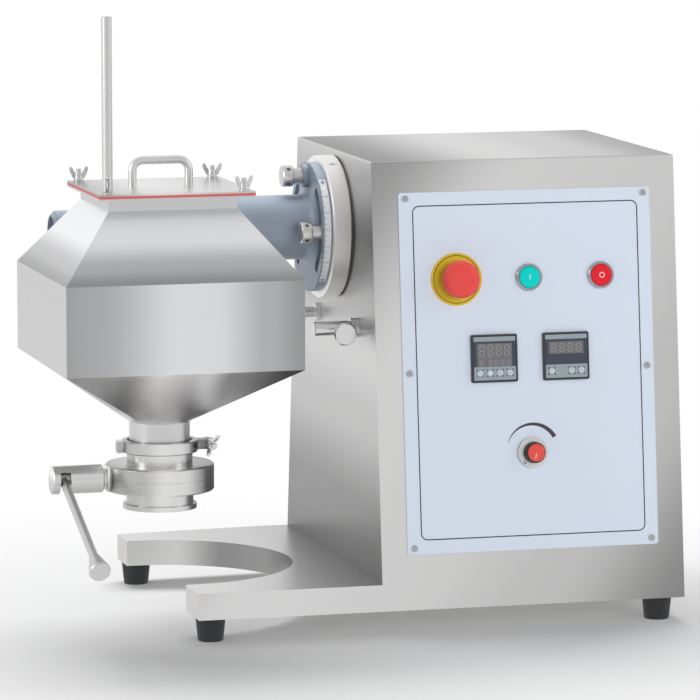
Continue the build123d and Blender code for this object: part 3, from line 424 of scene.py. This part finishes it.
def loop(shape, width, height, radius, level, steps=8):
    # a rounded rectangle of edges
    corners = []
    for sx, sy, start in ((1, 1, 0), (-1, 1, 90), (-1, -1, 180), (1, -1, 270)):
        for k in range(steps + 1):
            a = radians(start + 90 * k / steps)
            corners.append(shape.verts.new((
                sx * (width / 2 - radius) + radius * cos(a),
                sy * (height / 2 - radius) + radius * sin(a),
                level,
            )))
    return [shape.edges.new((corners[i - 1], corners[i])) for i in range(len(corners))]


def outline(name, width, height, radius, line, place, body, material):
    shape = bmesh.new()
    outer = loop(shape, width + line, height + line, radius + line / 2, 0)
    inner = loop(shape, width - line, height - line, radius - line / 2, 0)
    bmesh.ops.bridge_loops(shape, edges=outer + inner)
    return keep(name, shape, place, body, material)


def pad(name, width, height, radius, thick, place, body, material, soft=0.0):
    # a flat plate with round corners, its top at the local zero
    shape = bmesh.new()
    rim = loop(shape, width, height, radius, 0)
    face = shape.faces.new([e.verts[0] for e in rim])
    low = bmesh.ops.extrude_face_region(shape, geom=[face])
    moved = [g for g in low["geom"] if isinstance(g, bmesh.types.BMVert)]
    bmesh.ops.translate(shape, verts=moved, vec=(0, 0, -thick))
    shape.faces.new([e.verts[0] for e in rim]) if not face.is_valid else None
    if soft:
        edges = [e for e in shape.edges if all(abs(v.co.z) < 1e-7 for v in e.verts)]
        bmesh.ops.bevel(
            shape, geom=edges, offset=soft, segments=3, affect="EDGES", profile=0.5, material=-1
        )
    return keep(name, shape, place, body, material)


outline("panel_line", 0.249, 0.3534, 0.007, 0.0012, on_panel(0.0004, 0.0003, panel_front + 0.00006), "cabinet", print_black)

# Emergency stop: a yellow ring with a thin printed line, a fixed collar and a red
# mushroom with two turned rings in its face.
estop = on_panel(-0.078, 0.0985)
dress("estop_plate", plastic("estop_yellow", (0.80, 0.56, 0.035), 0.45, shine=0.3))
spun("estop_ring_line", [(0.0249, 0), (0.0257, 0)], estop @ Matrix.Translation((0, 0, 0.00306)), "cabinet", print_black)
folded("estop_collar", plastic("estop_body", (0.10, 0.012, 0.010), 0.45), 0.0004)
estop_red = plastic("estop_red", (0.88, 0.085, 0.075), 0.38, shine=0.3)
mushroom = spun(
    "estop_mushroom",
    [
        (0, -0.004), (0.008, -0.004), (0.008, 0.0166), (0.0185, 0.0166), (0.0196, 0.0170), (0.0200, 0.0180),
        (0.0200, 0.0222), (0.0197, 0.0238), (0.0190, 0.0254), (0.0176, 0.0272), (0.0162, 0.0281), (0.0160, 0.0280),
        (0.0157, 0.0282), (0.0140, 0.0289), (0.0113, 0.0296), (0.0110, 0.0294), (0.0107, 0.0297), (0.0060, 0.0300), (0, 0.0300),
    ],
    estop, "estop", estop_red,
)
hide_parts("estop_button")

# Start and stop push buttons: bright bezels round coloured caps, each cap with
# the plain mark for on or off.
chrome = brushed("bezel_chrome", (0.42, 0.42, 0.44), 0.16, (300, 300, 300), 0.05)
folded("push_bezels", chrome, 0.0004)
mark_white = plastic("mark_white", (0.85, 0.85, 0.85), 0.5)
for name, u, colour in (
    ("start", 0.002, (0.0, 0.72, 0.66)),
    ("stop", 0.082, (0.86, 0.02, 0.035)),
):
    cap = spun(
        name + "_cap",
        [
            (0, -0.006), (0.006, -0.006), (0.006, 0.005), (0.0112, 0.005), (0.0116, 0.0054), (0.0116, 0.0060),
            (0.0113, 0.0067), (0.0106, 0.0072), (0.0090, 0.0076), (0.0060, 0.00785), (0.0030, 0.00798), (0, 0.008),
        ],
        on_panel(u, 0.0985), name, plastic(name + "_colour", colour, 0.3, shine=0.2),
    )
    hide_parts(name + "_button")
pad("start_mark", 0.0009, 0.0058, 0.0003, 0.0001, on_panel(0.002, 0.0985, 0.0081), "start", mark_white)
spun("stop_mark", [(0.0022, 0.0), (0.0022, 0.0081), (0.0030, 0.0081), (0.0030, 0.0)], on_panel(0.082, 0.0985), "stop", mark_white)

# Meters: dark cases with a silver strip above, a dark face with a grey window,
# and a silver strip with round keys below. The digits are unlit.
meter_dark = plastic("meter_dark", (0.035, 0.037, 0.045), 0.45)
folded("meter_cases", meter_dark, 0.0006)
dress("meter_faces", plastic("meter_face", (0.045, 0.055, 0.08), 0.35))
meter_silver = plastic("meter_silver", (0.33, 0.39, 0.43), 0.4)
window_grey = plastic("window_grey", (0.17, 0.17, 0.18), 0.25)
digit_grey = plastic("digit_grey", (0.27, 0.26, 0.26), 0.4)
key_white = plastic("key_white", (0.72, 0.76, 0.84), 0.4)


def bar(shape, x, y, width, height, turn=0.0):
    place = Matrix.Translation((x, y, 0)) @ Matrix.Rotation(radians(turn), 4, "Z")
    bmesh.ops.create_grid(
        shape, x_segments=1, y_segments=1, size=0.5, matrix=place @ Matrix.Diagonal((width, height, 1, 1))
    )


def eights(shape, x, y, count, pitch, width, height, line):
    # a row of unlit seven-bar digits
    for k in range(count):
        cx = x + (k - (count - 1) / 2) * pitch
        for cy in (-height / 2, 0, height / 2):
            bar(shape, cx, y + cy, width - line, line)
        for sx in (-1, 1):
            for sy in (-1, 1):
                bar(shape, cx + sx * width / 2, y + sy * height / 4, line, height / 2 - line)


for name, u, window_h, window_v, deep, keys in (
    ("timer", -0.039, 0.025, 0.0034, 0.0003, (-0.0165, -0.0055, 0.0055, 0.0165)),
    ("rate", 0.0406, 0.0129, 0.0090, 0.0003, (-0.0165, 0.0055, 0.0165)),
):
    v = 0.0134
    pad(name + "_top_strip", 0.0462, 0.0048, 0.0008, 0.00012, on_panel(u, v + 0.0206, 0.00562), "cabinet", meter_silver)
    pad(name + "_key_strip", 0.0462, 0.0142, 0.0008, 0.00012, on_panel(u, v - 0.0159, 0.00562), "cabinet", meter_silver)
    pad(name + "_window", 0.0386, window_h, 0.0003, 0.0001, on_panel(u, v + window_v, 0.00535), "cabinet", window_grey)
    shape = bmesh.new()
    if name == "timer":
        eights(shape, 0.0, 0.0048, 4, 0.0092, 0.0050, 0.0115, 0.0013)
        eights(shape, 0.0052, -0.0085, 4, 0.0065, 0.0032, 0.0062, 0.0009)
        for k in range(3):
            bar(shape, -0.0148, -0.0058 - 0.0026 * k, 0.0042, 0.0011)
    else:
        eights(shape, 0.0, 0.0, 4, 0.0090, 0.0048, 0.0082, 0.0012)
    keep(name + "_digits", shape, on_panel(u, v + window_v, 0.00540), "cabinet", digit_grey)
    caps = bmesh.new()
    signs = bmesh.new()
    for k in keys:
        lathe(
            caps,
            [(0, 0.00565), (0.0031, 0.00565), (0.0031, 0.0060), (0.0028, 0.00618), (0, 0.00622)],
            Matrix.Translation((k, 0, 0)),
            48,
        )
        for sx in (-1, 1):
            for sy in (-1, 1):
                bar(signs, k + sx * 0.0031, sy * 0.0037, 0.0016, 0.0007)
                bar(signs, k + sx * 0.0037, sy * 0.0031, 0.0007, 0.0016)
    keep(name + "_keys", caps, on_panel(u, v - 0.0155), "cabinet", key_white)
    keep(name + "_key_corners", signs, on_panel(u, v - 0.0155, 0.00567), "cabinet", print_black)
    arrows = bmesh.new()
    for k, turn in zip(keys[-2:], (90, 0)):
        for side in (-1, 1):
            lean_over = Matrix.Rotation(radians(turn), 3, "Z") @ Vector((side * 0.00075, 0.0, 0.0))
            bar(arrows, k + lean_over.x, lean_over.y, 0.0022, 0.0005, turn - side * 45)
    bar(arrows, keys[0], 0.0, 0.0024, 0.0005)
    keep(name + "_key_signs", arrows, on_panel(u, v - 0.0155, 0.00626), "cabinet", print_black)

# Speed knob: a clear skirt with a black pointer, a ribbed black body and a red cap
# with a white line, and a printed arc that grows from thin to thick.
knob = on_panel(0.001, -0.088)
knob_black = plastic("knob_black", (0.022, 0.022, 0.024), 0.4)
skirt_clear = plastic("skirt_clear", (0.74, 0.74, 0.73), 0.3)
shape = bmesh.new()
lathe(shape, [(0, 0.004), (0.0160, 0.004), (0.0165, 0.0043), (0.0165, 0.0057), (0.0161, 0.006), (0, 0.006)])
keep("knob_skirt", shape, knob, "dial", skirt_clear)
shape = bmesh.new()
ribs = 36
profile = []
for k in range(ribs * 4):
    a = 2 * pi * k / (ribs * 4)
    r = 0.0115 - (0.0007 if k % 4 in (0, 1) else 0.0)
    profile.append((r, a))
levels = ((0.006, 1.0), (0.0155, 0.97), (0.0166, 0.93), (0.0170, 0.88))
rings = [
    [shape.verts.new((r * share * cos(a), r * share * sin(a), h)) for r, a in profile] for h, share in levels
]
for lower, upper in zip(rings, rings[1:]):
    for k in range(len(lower)):
        shape.faces.new((lower[k - 1], lower[k], upper[k], upper[k - 1]))
shape.faces.new(rings[-1])
shape.faces.new(list(reversed(rings[0])))
knob_body = keep("knob_body", shape, knob, "dial", knob_black)
spindle = spun("knob_spindle", [(0, -0.009), (0.003, -0.009), (0.003, 0.008), (0, 0.008)], knob, "dial", screw_steel, 48)
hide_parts("speed_knob")
cap = spun(
    "knob_cap",
    [(0, 0.0160), (0.0094, 0.0160), (0.0094, 0.0172), (0.0091, 0.01738), (0, 0.0174)],
    knob, "dial", plastic("cap_red", (0.86, 0.085, 0.065), 0.35),
)
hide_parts("speed_cap")
shape = bmesh.new()
bar(shape, -0.0008, -0.0036, 0.0007, 0.0060, -14)
keep("knob_line", shape, knob @ Matrix.Translation((0, 0, 0.01746)), "dial", mark_white)
shape = bmesh.new()
tip = [shape.verts.new(p) for p in ((-0.0108, -0.0112, 0.00606), (-0.0078, -0.0120, 0.00606), (-0.0104, -0.0086, 0.00606))]
shape.faces.new(tip)
keep("knob_pointer", shape, knob, "dial", print_black)
dress("speed_control", screw_steel)
shape = bmesh.new()
pairs = []
for k in range(49):
    t = k / 48
    a = radians(160.3 - 130.7 * t)
    half = 0.00012 + 0.0023 * t ** 0.8
    pairs.append([shape.verts.new((r * cos(a), r * sin(a), 0)) for r in (0.02865 - half, 0.02865 + half)])
for one, two in zip(pairs, pairs[1:]):
    shape.faces.new((one[0], one[1], two[1], two[0]))
keep("speed_arc", shape, on_panel(0.0013, -0.08665, panel_front + 0.00006), "cabinet", plastic("arc_grey", (0.062, 0.045, 0.062), 0.5))

# Drive arm and its mounting disc: a turned steel disc on the wall, a painted
# casting in front of it, and three round clamp heads with bar holes.
turned_steel = brushed("turned_steel", (0.68, 0.67, 0.66), 0.3, (900, 30, 30))
folded("mounting_disc", brushed("disc_steel", (0.95, 0.94, 0.93), 0.5, (900, 30, 30)), 0.0006)
cast_grey = plastic("cast_grey", (0.30, 0.35, 0.42), 0.42, 500, 0.1, 0.3)
folded("arm_casting", cast_grey, 0.0012)
dress("gearbox_cover", cast_grey)
for name in ("clamp_nut_front", "clamp_nut_rear", "clamp_screw_top"):
    folded(name, turned_steel, 0.0005)
dark_steel = brushed("dark_steel", (0.42, 0.42, 0.43), 0.4, (200, 200, 200))
for name in (
    "disc_bolts", "shaft_bearing", "motor_bracket", "gear_motor", "drive_shaft",
    "gear_bearings", "worm_shaft", "worm_wheel", "output_shaft", "carrier_screws",
):
    dress(name, dark_steel)


# Angle scale: a pale strip bent round the flange, with red-brown lines every few
# degrees and small plain numbers, and an arrow cut in the disc rim behind it.
def on_rim(x, angle, radius):
    a = radians(angle)
    return Matrix((
        (1, 0, 0, x),
        (0, sin(a), -cos(a), 0.068 - radius * cos(a)),
        (0, cos(a), sin(a), 0.415 + radius * sin(a)),
        (0, 0, 0, 1),
    ))


def written(name, text, size, place, body, material):
    letters = bpy.data.curves.new(name, "FONT")
    letters.body = text
    letters.size = size
    letters.align_x = "CENTER"
    letters.align_y = "CENTER"
    source = bpy.data.objects.new(name + "_text", letters)
    scene.collection.objects.link(source)
    bpy.context.view_layer.update()
    flat = bpy.data.meshes.new_from_object(source.evaluated_get(bpy.context.evaluated_depsgraph_get()))
    bpy.data.objects.remove(source)
    shape = bmesh.new()
    shape.from_mesh(flat)
    bpy.data.meshes.remove(flat)
    return keep(name, shape, place, body, material)


dress("angle_scale", plastic("scale_pale", (0.80, 0.83, 0.86), 0.4))
dress("scale_screws", screw_steel)
scale_red = plastic("scale_red", (0.32, 0.09, 0.07), 0.5)
low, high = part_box("angle_scale")
middle = (low[0] + high[0]) / 2
shape = bmesh.new()
for k in range(-45, 46, 5):
    long = 0.0030 if k % 15 == 0 else 0.0018
    at = on_rim(middle - 0.0033 + long / 2, k + 3, 0.07076)
    bmesh.ops.create_grid(
        shape, x_segments=1, y_segments=1, size=0.5, matrix=at @ Matrix.Diagonal((long, 0.0005, 1, 1))
    )
keep("scale_lines", shape, Matrix(), "arm", scale_red)
for k in (-45, -30, -15, 0, 15, 30, 45):
    written("scale_number_%d" % (k + 45), str(abs(k)), 0.0026, on_rim(middle + 0.0013, k + 3, 0.07076), "arm", scale_red)
# The arrow cut in the rim is drawn as a flat dark steel arrow laid on the rim: its darkness is painted shade in place
# of the cut.
shape = bmesh.new()
arrow = [shape.verts.new(p) for p in (
    (-0.0042, 0, 0), (0.0010, 0.0026, 0), (0.0010, 0.0008, 0), (0.0052, 0.0008, 0),
    (0.0052, -0.0008, 0), (0.0010, -0.0008, 0), (0.0010, -0.0026, 0),
)]
shape.faces.new(arrow)
keep("disc_arrow", shape, on_rim(0.0005, 66, 0.07706), "cabinet", dark_steel)

# Side lever and round sensor in the cabinet wall, polished.
bright_steel = brushed("bright_steel", (0.66, 0.66, 0.66), 0.17, (700, 700, 700), 0.03, 0.05)
for name in ("lever_bushing", "wall_lever", "wall_sensor"):
    folded(name, bright_steel, 0.0003)

# Vessel: folded and welded sheet with brushed faces; the shoulders and the cone
# are brushed along their slope.
vessel_steel = brushed("vessel_steel", (0.64, 0.64, 0.64), 0.34, (5, 5, 1500))
cool = (0.99, 0.995, 1.01)
vessel = folded("vessel_shell", vessel_steel, 0.0015)
# Painted light on the vessel: the belt front has a bright painted reflection band a little right of middle and darkens
# to both ends, the shoulders lighten towards the top, and the cone has a bright painted reflection band in its middle
# and darkens strongly to the right in painted shade.
faced(vessel, (
    (
        graded(
            "belt_steel", (1500, 5, 5), (1, 0, 0), -0.348, -0.098,
            ((0.0, 0.42), (0.12, 0.47), (0.5, 0.82), (0.62, 0.80), (0.85, 0.50), (1.0, 0.36)), 0.34, cool,
        ),
        lambda n, c: n.y < -0.9 and 0.29 < c.z < 0.40,
    ),
    (
        graded(
            "shoulder_steel", (5, 5, 1500), (0, 0, 1), 0.3925, 0.4625,
            ((0.0, 0.36), (0.25, 0.56), (0.6, 0.95), (1.0, 0.92)), 0.34, cool,
        ),
        lambda n, c: n.z > 0.2 and 0.39 < c.z < 0.465,
    ),
    (
        graded(
            "cone_steel", (1500, 5, 5), (1, 0, 0), -0.348, -0.098,
            ((0.0, 0.30), (0.25, 0.34), (0.42, 1.0), (0.58, 1.0), (0.70, 0.40), (1.0, 0.10)), 0.34, (1.0, 0.99, 0.985),
        ),
        lambda n, c: n.z < -0.1 and c.z < 0.30,
    ),
))
# The lid top carries a painted reflection: lightest a little left of its middle, darker at both sides.
folded("lid_plate", graded("lid_steel", (5, 1500, 1500), (1, 0, 0), -0.303, -0.138, ((0.0, 0.46), (0.4, 0.80), (1.0, 0.62)), 0.3), 0.0004)
dress("lid_gasket", plastic("gasket_red", (0.70, 0.13, 0.12), 0.5))
for name in (
    "wing_nut_front_left", "wing_nut_front_right", "wing_nut_rear_left",
    "wing_nut_rear_right", "clamp_wing_nut", "clamp_bolt", "clamp_hinge_link",
):
    folded(name, bright_steel, 0.0003)
satin_steel = brushed("satin_steel", (0.64, 0.64, 0.635), 0.42, (900, 900, 5), 0.01, 0.04)
folded("nut_key", satin_steel, 0.0003)

# Outlet: clamp, valve body halves and the lever with its knob, turned and
# polished, with a rubber ring inside that the disc closes on.
# The clamp and valve body carry a bright painted reflection band near the middle and darken strongly to the right in
# painted shade.
valve_steel = graded(
    "valve_steel", (30, 30, 900), (1, 0, 0), -0.281, -0.165,
    ((0.0, 0.40), (0.2, 0.50), (0.45, 0.80), (0.6, 0.74), (0.85, 0.28), (1.0, 0.18)), 0.28,
)
for name in ("clamp_half_front", "clamp_half_rear", "valve_body_upper", "valve_body_lower"):
    folded(name, valve_steel, 0.0005)
# The actuator carries a painted highlight: darker at its foot and lightest near its top.
folded(
    "valve_actuator",
    graded("actuator_steel", (900, 30, 30), (0, 0, 1), 0.161, 0.191, ((0.0, 0.40), (0.4, 0.62), (0.75, 0.95), (1.0, 0.85)), 0.28),
    0.0005,
)
for name in ("valve_lever", "lever_knob"):
    folded(name, satin_steel, 0.0005)
dress("valve_disc", turned_steel)
seal_white = plastic("seal_white", (0.75, 0.75, 0.72), 0.5)
dress("outlet_seal", seal_white)
dress("valve_seat", seal_white)
